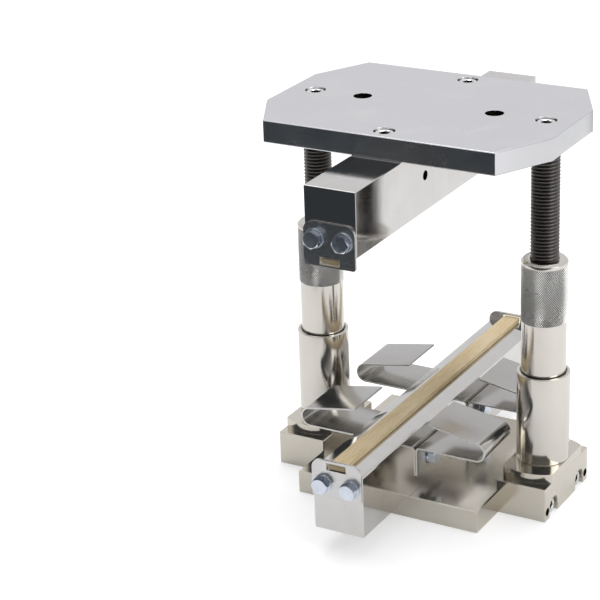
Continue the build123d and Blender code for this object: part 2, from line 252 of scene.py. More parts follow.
def softened(corners, radius, steps=3):
    """Corners of a closed outline, each one rounded by about this radius."""
    points = []
    count = len(corners)
    for i, corner in enumerate(corners):
        here = Vector(corner)
        before = Vector(corners[i - 1]) - here
        after = Vector(corners[(i + 1) % count]) - here
        start = here + before.normalized() * min(radius, before.length / 2.1)
        end = here + after.normalized() * min(radius, after.length / 2.1)
        for step in range(steps + 1):
            t = step / steps
            points.append((1 - t) ** 2 * start + 2 * t * (1 - t) * here + t * t * end)
    return points


def lathe(name, x, corners, radius=0.2, segments=128):
    """A turned piece about the upright axis at x, from its closed half section."""
    bm = bmesh.new()
    rings = [ring_of(bm, segments, even(r, z), x) for r, z in softened(corners, radius)]
    for i, ring in enumerate(rings):
        bridge(bm, ring, rings[(i + 1) % len(rings)])
    face_outwards(bm)
    mesh = mesh_from(bm, name)
    shade_by_angle(mesh, 40)
    return add_object(name, mesh)


def dressed(node, bevel):
    """A merged copy of a CAD node with its edges slightly rounded and its flat faces kept flat."""
    name = f"{node}_finished"
    bm = bmesh.new()
    bm.from_mesh(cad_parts[node].data)
    bmesh.ops.remove_doubles(bm, verts=bm.verts, dist=2e-6)
    bmesh.ops.dissolve_limit(bm, angle_limit=math.radians(1.0), verts=bm.verts, edges=bm.edges)
    piece = add_object(name, mesh_from(bm, name))
    rounding = piece.modifiers.new("edge rounding", "BEVEL")
    rounding.width = bevel * MM
    rounding.segments = 2
    rounding.limit_method = "ANGLE"
    rounding.angle_limit = math.radians(30)
    rounding.use_clamp_overlap = True
    baked(piece)
    shade_by_angle(piece.data, 40)
    weights = piece.modifiers.new("weighted normals", "WEIGHTED_NORMAL")
    weights.mode = "FACE_AREA"
    weights.weight = 100
    weights.keep_sharp = True
    return baked(piece)


# Node helpers


class Graph:
    """A node tree with short ways to add and join its nodes."""

    def __init__(self, tree):
        self.tree = tree

    def node(self, kind, feeds=None, **settings):
        """A node with these settings, and with its inputs fed by name."""
        made = self.tree.nodes.new(kind)
        for key, value in settings.items():
            setattr(made, key, value)
        for label, value in (feeds or {}).items():
            self.feed(value, made.inputs[label])
        return made

    def feed(self, value, socket):
        if isinstance(value, (int, float, str, tuple)):
            socket.default_value = value
        else:
            self.tree.links.new(value, socket)

    def math(self, operation, a, b=None, clamp=False):
        made = self.node("ShaderNodeMath", operation=operation, use_clamp=clamp)
        self.feed(a, made.inputs[0])
        if b is not None:
            self.feed(b, made.inputs[1])
        return made.outputs[0]

    def add(self, a, b, clamp=False):
        return self.math("ADD", a, b, clamp)

    def subtract(self, a, b):
        return self.math("SUBTRACT", a, b)

    def multiply(self, a, b, clamp=False):
        return self.math("MULTIPLY", a, b, clamp)

    def divide(self, a, b):
        return self.math("DIVIDE", a, b)

    def split(self, vector):
        return self.node("ShaderNodeSeparateXYZ", {"Vector": vector}).outputs

    def joined(self, x, y, z):
        return self.node("ShaderNodeCombineXYZ", {"X": x, "Y": y, "Z": z}).outputs[0]

    def open_sockets(self, inputs, outputs):
        """Named inputs and outputs of a shared tree, and the nodes that hold them."""
        for label, kind, value in inputs:
            socket = self.tree.interface.new_socket(label, in_out="INPUT", socket_type=kind)
            if value is not None:
                socket.default_value = value
        for label, kind in outputs:
            self.tree.interface.new_socket(label, in_out="OUTPUT", socket_type=kind)
        self.source = self.node("NodeGroupInput").outputs
        self.end = self.node("NodeGroupOutput").inputs


class Tree(Graph):
    """A Geometry Nodes tree with named inputs and one material."""

    def __init__(self, name, inputs):
        super().__init__(bpy.data.node_groups.new(name, "GeometryNodeTree"))
        ends = [("Geometry", "NodeSocketGeometry", None), ("Material", "NodeSocketMaterial", None)]
        self.open_sockets(ends + inputs, [("Geometry", "NodeSocketGeometry")])

    def finish(self, geometry):
        realized = self.node("GeometryNodeRealizeInstances", {"Geometry": geometry}).outputs[0]
        painted = self.node(
            "GeometryNodeSetMaterial", {"Geometry": realized, "Material": self.source["Material"]}
        )
        self.feed(painted.outputs[0], self.end["Geometry"])
        return self.tree


def grown(name, group, values, mesh=None):
    """An object whose mesh is what the tree makes with these values."""
    piece = add_object(name, mesh or bpy.data.meshes.new(name))
    modifier = piece.modifiers.new(name, "NODES")
    modifier.node_group = group
    for item in group.interface.items_tree:
        if item.in_out == "INPUT" and item.name in values:
            modifier[item.identifier] = values[item.name]
    return baked(piece)


# Knurl, thread, coil and seat trees

RELIEF_INPUTS = [
    ("Radius", "NodeSocketFloat", 0.01),
    ("Bottom", "NodeSocketFloat", 0.0),
    ("Length", "NodeSocketFloat", 0.05),
    ("Axis X", "NodeSocketFloat", 0.0),
    ("Columns", "NodeSocketInt", 96),
    ("Depth", "NodeSocketFloat", 0.001),
    ("Pitch", "NodeSocketFloat", 0.003),
]


def triangle_wave(tree, value):
    """1 in the middle of each unit step and 0 at its ends."""
    doubled = tree.multiply(tree.math("FRACT", value), 2.0)
    return tree.subtract(1.0, tree.math("ABSOLUTE", tree.subtract(doubled, 1.0)))


def knurl_tree():
    """A tube with pointed diamonds between two crossing sets of grooves, and a plain row at each end."""
    tree = Tree(
        "diamond knurl",
        RELIEF_INPUTS + [("Rows", "NodeSocketInt", 96), ("Diamonds Round", "NodeSocketFloat", 66.0)],
    )
    given = tree.source
    sizes = {
        "Vertices": given["Columns"],
        "Side Segments": given["Rows"],
        "Radius": given["Radius"],
        "Depth": given["Length"],
    }
    tube = tree.node("GeometryNodeMeshCylinder", sizes, fill_type="NGON")
    x, y, z = tree.split(tree.node("GeometryNodeInputPosition").outputs[0])
    turn = tree.divide(tree.math("ARCTAN2", y, x), 2 * math.pi)
    height = tree.add(z, tree.multiply(given["Length"], 0.5))
    round_steps = tree.multiply(turn, given["Diamonds Round"])
    rise_steps = tree.divide(height, given["Pitch"])
    one = triangle_wave(tree, tree.add(round_steps, rise_steps))
    other = triangle_wave(tree, tree.subtract(round_steps, rise_steps))
    blunted = tree.math("MINIMUM", tree.multiply(tree.math("MINIMUM", one, other), 1.25), 1.0)
    from_end = tree.math("MINIMUM", height, tree.subtract(given["Length"], height))
    plain_end = tree.math("LESS_THAN", from_end, 0.3 * MM)
    raised = tree.math("MAXIMUM", blunted, plain_end)
    inward = tree.multiply(tree.subtract(1.0, raised), given["Depth"])
    scale = tree.subtract(1.0, tree.divide(inward, given["Radius"]))
    place = tree.joined(
        tree.add(tree.multiply(x, scale), given["Axis X"]),
        tree.multiply(y, scale),
        tree.add(height, given["Bottom"]),
    )
    moved = tree.node("GeometryNodeSetPosition", {"Geometry": tube.outputs["Mesh"], "Position": place})
    return tree.finish(moved.outputs["Geometry"])


def thread_tree():
    """A right-hand thread whose rows follow the helix, with a flat crest, a rounded root and closed ends."""
    tree = Tree("rod thread", RELIEF_INPUTS + [("Rows per Pitch", "NodeSocketInt", 8)])
    given = tree.source
    length, pitch = given["Length"], given["Pitch"]
    step = tree.divide(pitch, given["Rows per Pitch"])
    rows = tree.math("CEIL", tree.divide(tree.add(length, tree.multiply(pitch, 2.0)), step))
    sizes = {
        "Size X": 1.0,
        "Size Y": 1.0,
        "Vertices X": tree.add(given["Columns"], 1.0),
        "Vertices Y": tree.add(rows, 1.0),
    }
    sheet = tree.node("GeometryNodeMeshGrid", sizes)
    turn, rise, _ = tree.split(tree.node("GeometryNodeInputPosition").outputs[0])
    row = tree.math("ROUND", tree.multiply(tree.add(rise, 0.5), rows))
    height = tree.subtract(tree.multiply(row, step), pitch)
    risen = tree.add(height, tree.multiply(turn, pitch))
    level = tree.math("MAXIMUM", tree.math("MINIMUM", risen, length), 0.0)
    beyond = tree.math("ABSOLUTE", tree.subtract(risen, level))
    inside = tree.math("LESS_THAN", beyond, tree.multiply(step, 1.01))
    wave = triangle_wave(tree, tree.divide(height, pitch))
    crest = tree.math("MINIMUM", tree.multiply(wave, 1.18), 1.0)
    root = tree.math("MAXIMUM", tree.subtract(crest, 0.08), 0.0)
    inward = tree.multiply(tree.subtract(0.92, root), given["Depth"])
    radius = tree.multiply(tree.subtract(given["Radius"], inward), inside)
    angle = tree.multiply(turn, 2 * math.pi)
    place = tree.joined(
        tree.add(tree.multiply(radius, tree.math("COSINE", angle)), given["Axis X"]),
        tree.multiply(radius, tree.math("SINE", angle)),
        tree.add(level, given["Bottom"]),
    )
    moved = tree.node("GeometryNodeSetPosition", {"Geometry": sheet.outputs["Mesh"], "Position": place})
    welded = tree.node(
        "GeometryNodeMergeByDistance", {"Geometry": moved.outputs["Geometry"], "Distance": 0.001 * MM}
    )
    return tree.finish(welded.outputs["Geometry"])


def coil_tree():
    """Flat wire wound into a compression spring with square ends."""
    tree = Tree(
        "flat wire spring",
        [
            ("Turns", "NodeSocketFloat", 5.0),
            ("Radius", "NodeSocketFloat", 0.015),
            ("Length", "NodeSocketFloat", 0.05),
            ("Wire Width", "NodeSocketFloat", 0.004),
            ("Wire Height", "NodeSocketFloat", 0.004),
            ("Axis X", "NodeSocketFloat", 0.0),
            ("Bottom", "NodeSocketFloat", 0.0),
        ],
    )
    given = tree.source
    sizes = {
        "Resolution": 48,
        "Rotations": given["Turns"],
        "Start Radius": given["Radius"],
        "End Radius": given["Radius"],
        "Height": tree.subtract(given["Length"], given["Wire Height"]),
    }
    spiral = tree.node("GeometryNodeCurveSpiral", sizes)
    upright = tree.node("GeometryNodeSetCurveNormal", {"Curve": spiral.outputs["Curve"]}, mode="Z_UP")
    wire = tree.node(
        "GeometryNodeCurvePrimitiveQuadrilateral",
        {"Width": given["Wire Width"], "Height": given["Wire Height"]},
    )
    rounding = {"Curve": wire.outputs["Curve"], "Radius": 0.8 * MM, "Count": 3}
    profile = tree.node("GeometryNodeFilletCurve", rounding, mode="POLY")
    ends = {
        "Curve": upright.outputs["Curve"],
        "Profile Curve": profile.outputs["Curve"],
        "Fill Caps": True,
    }
    swept = tree.node("GeometryNodeCurveToMesh", ends)
    half_wire = tree.multiply(given["Wire Height"], 0.5)
    place = tree.joined(given["Axis X"], 0.0, tree.add(given["Bottom"], half_wire))
    moved = tree.node("GeometryNodeTransform", {"Geometry": swept.outputs["Mesh"], "Translation": place})
    return tree.finish(moved.outputs["Geometry"])


def seat_tree():
    """One copy of a fastener on every seat, facing out along the seat and turned to its own angle."""
    tree = Tree("fasteners on seats", [("Fastener", "NodeSocketObject", None)])
    info = tree.node("GeometryNodeObjectInfo", {"Object": tree.source["Fastener"]})
    facing, across = (
        tree.node("GeometryNodeInputNamedAttribute", {"Name": label}, data_type="FLOAT_VECTOR")
        for label in ("facing", "across")
    )
    axes = {"Primary Axis": facing.outputs["Attribute"], "Secondary Axis": across.outputs["Attribute"]}
    aim = tree.node("FunctionNodeAxesToRotation", axes, primary_axis="Z", secondary_axis="X")
    copying = {
        "Points": tree.source["Geometry"],
        "Instance": info.outputs["Geometry"],
        "Rotation": aim.outputs["Rotation"],
    }
    copies = tree.node("GeometryNodeInstanceOnPoints", copying)
    return tree.finish(copies.outputs["Instances"])


KNURL = knurl_tree()
THREAD = thread_tree()
COIL = coil_tree()
SEATS = seat_tree()


def seats_mesh(name, seats):
    """Points with a facing direction and a direction across, from (place, facing, turn) rows."""
    mesh = bpy.data.meshes.new(name)
    mesh.from_pydata([Vector(place) * MM for place, _, _ in seats], [], [])
    facing = mesh.attributes.new("facing", "FLOAT_VECTOR", "POINT")
    across = mesh.attributes.new("across", "FLOAT_VECTOR", "POINT")
    for i, (_, direction, turn) in enumerate(seats):
        out = Vector(direction)
        side = Vector((1, 0, 0)) if abs(out.x) < 0.5 else Vector((0, 1, 0))
        if not (out.y < -0.5 or out.x > 0.5 or out.z > 0.5):
            side = -side
        facing.data[i].vector = out
        across.data[i].vector = Matrix.Rotation(math.radians(turn), 3, out) @ side
    return mesh


def placed(name, template, seats, material):
    """Copies of a fastener on its seats, as one plain mesh."""
    values = {"Fastener": template, "Material": material}
    return grown(name, SEATS, values, seats_mesh(f"{name} seats", seats))


# Materials


class Shader(Graph):
    """The nodes of a material, of a shared group or of the world."""

    def noise(self, vector, scale, detail=2.0, roughness=0.5, distortion=0.0):
        settings = {
            "Vector": vector,
            "Scale": scale,
            "Detail": detail,
            "Roughness": roughness,
            "Distortion": distortion,
        }
        return self.node("ShaderNodeTexNoise", settings).outputs["Fac"]

    def stretch(self, vector, scale):
        made = self.node("ShaderNodeVectorMath", operation="MULTIPLY")
        self.feed(vector, made.inputs[0])
        self.feed(scale, made.inputs[1])
        return made.outputs[0]

    def span(self, value, low, high, to_low=0.0, to_high=1.0):
        limits = {"Value": value, "From Min": low, "From Max": high, "To Min": to_low, "To Max": to_high}
        return self.node("ShaderNodeMapRange", limits).outputs["Result"]

    def mix(self, share, a, b):
        made = self.node("ShaderNodeMix", data_type="RGBA")
        for value, socket in ((share, 0), (a, 6), (b, 7)):
            self.feed(value, made.inputs[socket])
        return made.outputs[2]

    def bump(self, height, strength, distance):
        feeds = {"Strength": strength, "Distance": distance, "Height": height}
        return self.node("ShaderNodeBump", feeds).outputs["Normal"]

    def use(self, group, **values):
        made = self.node("ShaderNodeGroup", node_tree=group)
        for label, value in values.items():
            self.feed(value, made.inputs[label.replace("_", " ")])
        return made.outputs


def surface_shader(name):
    """A new material, its nodes and its Principled BSDF's inputs."""
    material = bpy.data.materials.new(name)
    material.use_nodes = True
    s = Shader(material.node_tree)
    return material, s, material.node_tree.nodes["Principled BSDF"].inputs


def shared_shader(name, inputs, outputs):
    g = Shader(bpy.data.node_groups.new(name, "ShaderNodeTree"))
    g.open_sockets(inputs, [(label, "NodeSocketFloat") for label in outputs])
    return g


def marks_group():
    """Machining marks: fine lines that run along one direction, with a few deeper ones."""
    g = shared_shader(
        "machining marks",
        [
            ("Vector", "NodeSocketVector", (0, 0, 0)),
            ("Fineness", "NodeSocketVector", (100, 4000, 4000)),
            ("Deep Marks", "NodeSocketFloat", 0.3),
        ],
        ["Mask", "Height"],
    )
    vector = g.stretch(g.source["Vector"], g.source["Fineness"])
    fine = g.noise(vector, 1.0, 3.0, 0.6)
    wide = g.noise(g.stretch(vector, (0.13, 0.13, 0.13)), 1.0, 1.0, 0.5)
    deep = g.multiply(g.span(wide, 0.62, 0.75), g.source["Deep Marks"])
    g.feed(g.add(g.multiply(fine, 0.7), deep, clamp=True), g.end["Mask"])
    g.feed(g.subtract(fine, deep), g.end["Height"])
    return g.tree


def haze_group():
    """Cloudy smears and small spots left by handling and oil."""
    g = shared_shader(
        "handling haze",
        [
            ("Vector", "NodeSocketVector", (0, 0, 0)),
            ("Scale", "NodeSocketFloat", 30.0),
            ("Spots", "NodeSocketFloat", 0.3),
        ],
        ["Clouds", "Spots"],
    )
    vector, scale = g.source["Vector"], g.source["Scale"]
    speckle = g.span(g.noise(vector, g.multiply(scale, 14.0), 2.0, 0.5), 0.66, 0.72)
    where = g.span(g.noise(vector, g.multiply(scale, 1.7), 1.0), 0.5, 0.65)
    g.feed(g.span(g.noise(vector, scale, 4.0, 0.55, 0.6), 0.35, 0.7), g.end["Clouds"])
    g.feed(g.multiply(g.multiply(speckle, where), g.source["Spots"]), g.end["Spots"])
    return g.tree


def edge_highlight_group():
    """A mask of the edges, broken up by noise, for a painted highlight where plating and grinding catch the
    light.
    """
    g = shared_shader(
        "edge wear",
        [
            ("Vector", "NodeSocketVector", (0, 0, 0)),
            ("Width", "NodeSocketFloat", 0.0006),
            ("Breakup", "NodeSocketFloat", 400.0),
        ],
        ["Mask"],
    )
    rounded = g.node("ShaderNodeBevel", {"Radius": g.source["Width"]}, samples=4)
    plain = g.node("ShaderNodeNewGeometry")
    dot = g.node("ShaderNodeVectorMath", operation="DOT_PRODUCT")
    g.feed(rounded.outputs["Normal"], dot.inputs[0])
    g.feed(plain.outputs["Normal"], dot.inputs[1])
    edge = g.span(dot.outputs["Value"], 0.999, 0.93)
    breakup = g.span(g.noise(g.source["Vector"], g.source["Breakup"], 2.0), 0.3, 0.6)
    g.feed(g.multiply(edge, breakup, clamp=True), g.end["Mask"])
    return g.tree


MARKS = marks_group()
HAZE = haze_group()
# Mask of the painted highlight along edges
EDGE_HIGHLIGHT_TREE = edge_highlight_group()
HAZE_SCALE = 28.0
# How much lighter than the metal the painted edge highlight is
EDGE_HIGHLIGHT_GAIN = 1.12
MARK_DEPTH = 0.02 * MM
# Colour of the painted shade in the knurl's grooves
GROOVE_SHADE_TONE = (0.035, 0.033, 0.028, 1.0)


def with_groove_shade(s, place, tone):
    """Paints shade into the knurl's grooves: darkens what lies below the diamonds' crests, by its distance
    from the column's axis.
    """
    x, y, _ = s.split(place)
    out = s.subtract(s.math("ABSOLUTE", x), COLUMN_X * MM)
    distance = s.math("SQRT", s.add(s.multiply(out, out), s.multiply(y, y)))
    groove_shade = s.span(distance, (KNURL_RADIUS - 0.26) * MM, (KNURL_RADIUS - 0.50) * MM)
    return s.mix(s.multiply(groove_shade, 0.94), tone, GROOVE_SHADE_TONE)


def metal(
    name, colour, dark, rough, fineness, marks, bump, haze, deep=0.3, spots=0.5, highlight=None, grooves=False
):
    """A machined metal with a darker tone in its marks, smears and spots, and a painted highlight on its
    edges.
    """
    material, s, surface = surface_shader(name)
    place = s.node("ShaderNodeTexCoord").outputs["Object"]
    lines = s.use(MARKS, Vector=place, Fineness=fineness, Deep_Marks=deep)
    smears = s.use(HAZE, Vector=place, Scale=HAZE_SCALE, Spots=spots)
    # edges is the mask of the painted edge highlight, and bright below is that highlight's colour
    edges = s.use(EDGE_HIGHLIGHT_TREE, Vector=place)
    dark = dark + (1.0,)
    bright = highlight or tuple(min(1.0, part * EDGE_HIGHLIGHT_GAIN) for part in colour)
    tone = s.mix(s.multiply(lines["Mask"], marks), colour + (1.0,), dark)
    tone = s.mix(s.multiply(smears["Clouds"], haze * 2.0), tone, dark)
    tone = s.mix(smears["Spots"], tone, dark)
    tone = s.mix(edges["Mask"], tone, bright + (1.0,))
    # Painted shade in the knurl's grooves
    if grooves:
        tone = with_groove_shade(s, place, tone)
    uneven = s.multiply(smears["Clouds"], haze)
    grainy = s.multiply(s.subtract(lines["Mask"], 0.4), marks * 0.2)
    s.feed(tone, surface["Base Color"])
    s.feed(s.add(s.add(uneven, grainy), rough), surface["Roughness"])
    s.feed(s.bump(lines["Height"], bump, MARK_DEPTH), surface["Normal"])
    surface["Metallic"].default_value = 1.0
    return material


def hardboard():
    material, s, surface = surface_shader("hardboard strip")
    place = s.node("ShaderNodeTexCoord").outputs["Object"]
    fibres = s.noise(s.stretch(place, (900.0, 60.0, 900.0)), 1.0, 5.0, 0.65)
    fading = s.noise(s.stretch(place, (60.0, 14.0, 60.0)), 1.0, 3.0, 0.5, 0.5)
    flecks = s.span(s.noise(s.stretch(place, (1400.0, 260.0, 1400.0)), 1.0, 2.0), 0.62, 0.72)
    tone = s.mix(s.span(fibres, 0.3, 0.7), (0.52, 0.39, 0.21, 1.0), (0.71, 0.58, 0.36, 1.0))
    tone = s.mix(s.multiply(s.span(fading, 0.4, 0.7), 0.5), tone, (0.78, 0.66, 0.46, 1.0))
    tone = s.mix(s.multiply(flecks, 0.35), tone, (0.30, 0.18, 0.09, 1.0))
    s.feed(tone, surface["Base Color"])
    s.feed(s.span(fibres, 0.2, 0.8, 0.85, 0.68), surface["Roughness"])
    s.feed(s.bump(fibres, 0.35, 0.12 * MM), surface["Normal"])
    return material


NICKEL = metal(
    "nickel plate", (0.72, 0.68, 0.60), (0.54, 0.50, 0.42), rough=0.11,
    fineness=(180.0, 900.0, 900.0), marks=0.20, bump=0.06, haze=0.08,
)
TURNED = metal(
    "turned nickel plate", (0.72, 0.69, 0.635), (0.54, 0.51, 0.45), rough=0.13,
    fineness=(60.0, 60.0, 6000.0), marks=0.25, bump=0.08, haze=0.06,
)
# Knurled plate: lighter than the turned plating as a painted highlight on the diamonds, with painted shade
# in its grooves
KNURLED = metal(
    "knurled nickel plate", (0.95, 0.935, 0.89), (0.70, 0.69, 0.65), rough=0.26,
    fineness=(900.0, 900.0, 900.0), marks=0.15, bump=0.06, haze=0.08, grooves=True,
)
SATIN = metal(
    "satin ground plate", (0.71, 0.71, 0.725), (0.61, 0.615, 0.605), rough=0.20,
    fineness=(60.0, 18.0, 60.0), marks=0.14, bump=0.0, haze=0.10, deep=0.0, spots=0.0,
)
GROUND = metal(
    "ground steel bar", (0.73, 0.715, 0.69), (0.34, 0.33, 0.32), rough=0.07,
    fineness=(90.0, 9000.0, 90.0), marks=0.25, bump=0.12, haze=0.06, deep=0.6,
)
STOP_STEEL = metal(
    "stop plate steel", (0.71, 0.70, 0.69), (0.46, 0.46, 0.47), rough=0.24,
    fineness=(1500.0, 1500.0, 160.0), marks=0.15, bump=0.05, haze=0.06,
)
SPRING = metal(
    "spring strip steel", (0.52, 0.51, 0.49), (0.34, 0.33, 0.32), rough=0.16,
    fineness=(120.0, 5000.0, 120.0), marks=0.25, bump=0.10, haze=0.07,
)
# Sheared strip edges: a pale painted highlight on a rough finish
SHEARED_EDGE_HIGHLIGHT = metal(
    "sheared strip edge", (0.92, 0.91, 0.88), (0.70, 0.69, 0.66), rough=0.45,
    fineness=(3000.0, 3000.0, 3000.0), marks=0.3, bump=0.2, haze=0.05,
)
ZINC = metal(
    "bright zinc", (0.80, 0.86, 0.95), (0.44, 0.49, 0.58), rough=0.25,
    fineness=(900.0, 900.0, 900.0), marks=0.30, bump=0.12, haze=0.12,
)
PLATED = metal(
    "plated screw steel", (0.80, 0.80, 0.79), (0.50, 0.50, 0.49), rough=0.24,
    fineness=(900.0, 900.0, 900.0), marks=0.25, bump=0.10, haze=0.08,
)
# Near-black painted shade for the walls and floors of the screws' sockets
SOCKET_SHADE = metal(
    "socket wall", (0.045, 0.043, 0.040), (0.020, 0.019, 0.018), rough=0.40,
    fineness=(1500.0, 1500.0, 300.0), marks=0.4, bump=0.1, haze=0.05,
)
# Dark painted shade for the walls and bottoms of the listed holes
HOLE_SHADE = metal(
    "drilled wall", (0.070, 0.062, 0.050), (0.030, 0.026, 0.020), rough=0.35,
    fineness=(300.0, 300.0, 3000.0), marks=0.4, bump=0.2, haze=0.05,
)
# Black oxide, whose painted edge highlight has a colour of its own
BLACKENED = metal(
    "black oxide", (0.175, 0.163, 0.155), (0.055, 0.051, 0.047), rough=0.30,
    fineness=(1200.0, 1200.0, 1200.0), marks=0.5, bump=0.2, haze=0.10, highlight=(0.20, 0.19, 0.18),
)
HARDENED = metal(
    "hardened steel", (0.52, 0.52, 0.52), (0.30, 0.30, 0.30), rough=0.25,
    fineness=(2000.0, 2000.0, 200.0), marks=0.4, bump=0.2, haze=0.08,
)
BOARD = hardboard()


# Turned pieces of the columns


def sleeve_section():
    return (
        (SPRING_BORE, SPIGOT_BOTTOM),
        (SPIGOT_RADIUS, SPIGOT_BOTTOM),
        (SPIGOT_RADIUS, BOSS_TOP),
        (SLEEVE_RADIUS - SLEEVE_EDGE, BOSS_TOP),
        (SLEEVE_RADIUS, BOSS_TOP + SLEEVE_EDGE),
        (SLEEVE_RADIUS, SLEEVE_TOP - SLEEVE_EDGE),
        (SLEEVE_RADIUS - SLEEVE_EDGE, SLEEVE_TOP),
        (MOUTH_RADIUS, SLEEVE_TOP),
        (MOUTH_RADIUS, MOUTH_BOTTOM),
        (SHOULDER_RADIUS, MOUTH_BOTTOM),
        (SHOULDER_RADIUS, LIFTER_TOP),
        (LIFTER_BORE, LIFTER_TOP),
        (LIFTER_BORE, LIFTER_BORE_BOTTOM),
        (SPRING_BORE, LIFTER_BORE_BOTTOM),
    )


def nut_section():
    """The nut without its knurl, which covers the step up to the full radius."""
    return (
        (ROD_PASSAGE, NUT_BOTTOM),
        (SHANK_RADIUS - NUT_EDGE, NUT_BOTTOM),
        (SHANK_RADIUS, NUT_BOTTOM + NUT_EDGE),
        (SHANK_RADIUS, KNURL_START + 0.3),
        (SHANK_RADIUS, KNURL_END - 0.8),
        (KNURL_RADIUS, KNURL_END - 0.1),
        (KNURL_RADIUS, NUT_TOP - NUT_CHAMFER),
        (KNURL_RADIUS - NUT_CHAMFER, NUT_TOP),
        (THREAD_BORE, NUT_TOP),
        (THREAD_BORE, THREAD_START),
        (ROD_PASSAGE, THREAD_START),
    )


def disc_section(radius, bottom, top):
    return ((ROD_PASSAGE, bottom), (radius, bottom), (radius, top), (ROD_PASSAGE, top))


def close_to_ring(bm):
    """Makes a closed ring of the capped knurl, so that nothing of it crosses the nut's bore."""
    discs = [face for face in bm.faces if len(face.verts) > 4]
    bmesh.ops.inset_individual(bm, faces=discs, thickness=KNURL_WALL * MM, use_even_offset=True)
    bmesh.ops.delete(bm, geom=discs, context="FACES_ONLY")
    bmesh.ops.bridge_loops(bm, edges=[edge for edge in bm.edges if edge.is_boundary])
    face_outwards(bm)


def knurl(name, x):
    length = KNURL_END - KNURL_START
    values = {
        "Radius": KNURL_RADIUS * MM,
        "Bottom": KNURL_START * MM,
        "Length": length * MM,
        "Axis X": x * MM,
        "Columns": STEPS_PER_DIAMOND * DIAMONDS_ROUND,
        "Rows": math.ceil(STEPS_PER_DIAMOND * length / KNURL_PITCH),
        "Depth": KNURL_DEPTH * MM,
        "Pitch": KNURL_PITCH * MM,
        "Diamonds Round": float(DIAMONDS_ROUND),
        "Material": KNURLED,
    }
    band = grown(name, KNURL, values)
    reshape(band, close_to_ring)
    return band


def threaded_rod(name, x):
    values = {
        "Radius": ROD_RADIUS * MM,
        "Bottom": ROD_BOTTOM * MM,
        "Length": (PLATE_BOTTOM - ROD_BOTTOM) * MM,
        "Axis X": x * MM,
        "Columns": 96,
        "Rows per Pitch": 8,
        "Depth": THREAD_DEPTH * MM,
        "Pitch": THREAD_PITCH * MM,
        "Material": BLACKENED,
    }
    rod = grown(name, THREAD, values)
    reshape(rod, face_outwards)
    shade_by_angle(rod.data, 44)
    return rod


def column_spring(name, x):
    values = {
        "Turns": COIL_TURNS,
        "Radius": COIL_RADIUS * MM,
        "Length": COIL_LENGTH * MM,
        "Wire Width": WIRE_WIDTH * MM,
        "Wire Height": WIRE_HEIGHT * MM,
        "Axis X": x * MM,
        "Bottom": FOOT_FLOOR * MM,
        "Material": SPRING,
    }
    coil = grown(name, COIL, values)
    shade_by_angle(coil.data, 40)
    return coil


for hand, side in HANDS:
    x = side * COLUMN_X
    sleeve = lathe(f"{hand}_sleeve_finished", x, sleeve_section())
    give(sleeve, "base", "nickel_plated_steel", TURNED, f"{hand}_sleeve")

    lifter_disc = disc_section(LIFTER_RADIUS, LIFTER_BOTTOM, LIFTER_TOP)
    lifter = lathe(f"{hand}_lifter_finished", x, lifter_disc, radius=0.3, segments=96)
    give(lifter, "lifters", "hardened_steel", HARDENED, f"{hand}_lifter")

    thrust_disc = disc_section(THRUST_RADIUS, LIFTER_TOP, NUT_BOTTOM)
    thrust = lathe(f"{hand}_thrust_washer_finished", x, thrust_disc, segments=96)
    give(thrust, "lifters", "hardened_steel", HARDENED, f"{hand}_thrust_washer")

    nut = lathe(f"{hand}_nut_turned", x, nut_section(), radius=0.3)
    give(nut, f"{hand}_nut", "nickel_plated_steel", TURNED, f"{hand}_nut")
    band = knurl(f"{hand}_nut_knurl", x)
    give(band, f"{hand}_nut", "nickel_plated_steel", KNURLED)

    rod = threaded_rod(f"{hand}_rod_threaded", x)
    give(rod, "crosshead", "blackened_steel", BLACKENED, f"{hand}_rod")

    coil = column_spring(f"{hand}_column_spring_coil", x)
    give(coil, "base", "spring_steel", SPRING, f"{hand}_column_spring")
    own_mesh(coil)


# Fasteners


def hexagon_bolt():
    """A hexagon head with a turned chamfer and a short washer face, and a plain shank below z 0."""
    bm = bmesh.new()
    flat = M8_FLATS / 2
    corner = flat / math.cos(math.pi / 6)
    washer_face = 0.25
    chamfer_drop = 0.62
    head_count = 36
    shank_count = 24

    def head(limit, height, drop=0.0):
        def point(angle, i):
            wall = hexagon_wall(M8_FLATS, angle - math.pi / 6)
            return min(wall, limit), height - drop * (wall - flat) / (corner - flat)

        return point

    head_points = (
        head(flat * 0.96, 0.0),
        head(flat * 0.96, washer_face),
        head(corner, washer_face),
        head(corner, M8_HEAD - 0.12, chamfer_drop),
        head(flat * 0.965, M8_HEAD - 0.02),
        head(flat * 0.93, M8_HEAD),
    )
    shank_points = (even(3.3, -M8_LENGTH), even(M8_RADIUS, 0.8 - M8_LENGTH), even(M8_RADIUS, 0.0))
    skin(bm, [ring_of(bm, head_count, point) for point in head_points])
    skin(bm, [ring_of(bm, shank_count, point) for point in shank_points])
    face_outwards(bm)
    mesh = mesh_from(bm, "hexagon bolt")
    shade_by_angle(mesh, 24)
    return add_object("hexagon bolt", mesh)


def plain_washer():
    hole, rim = 4.25, 8.0
    section = ((hole, 0.0), (rim, 0.0), (rim, M8_WASHER), (hole, M8_WASHER))
    return lathe("plain washer", 0.0, section, radius=0.3, segments=64)


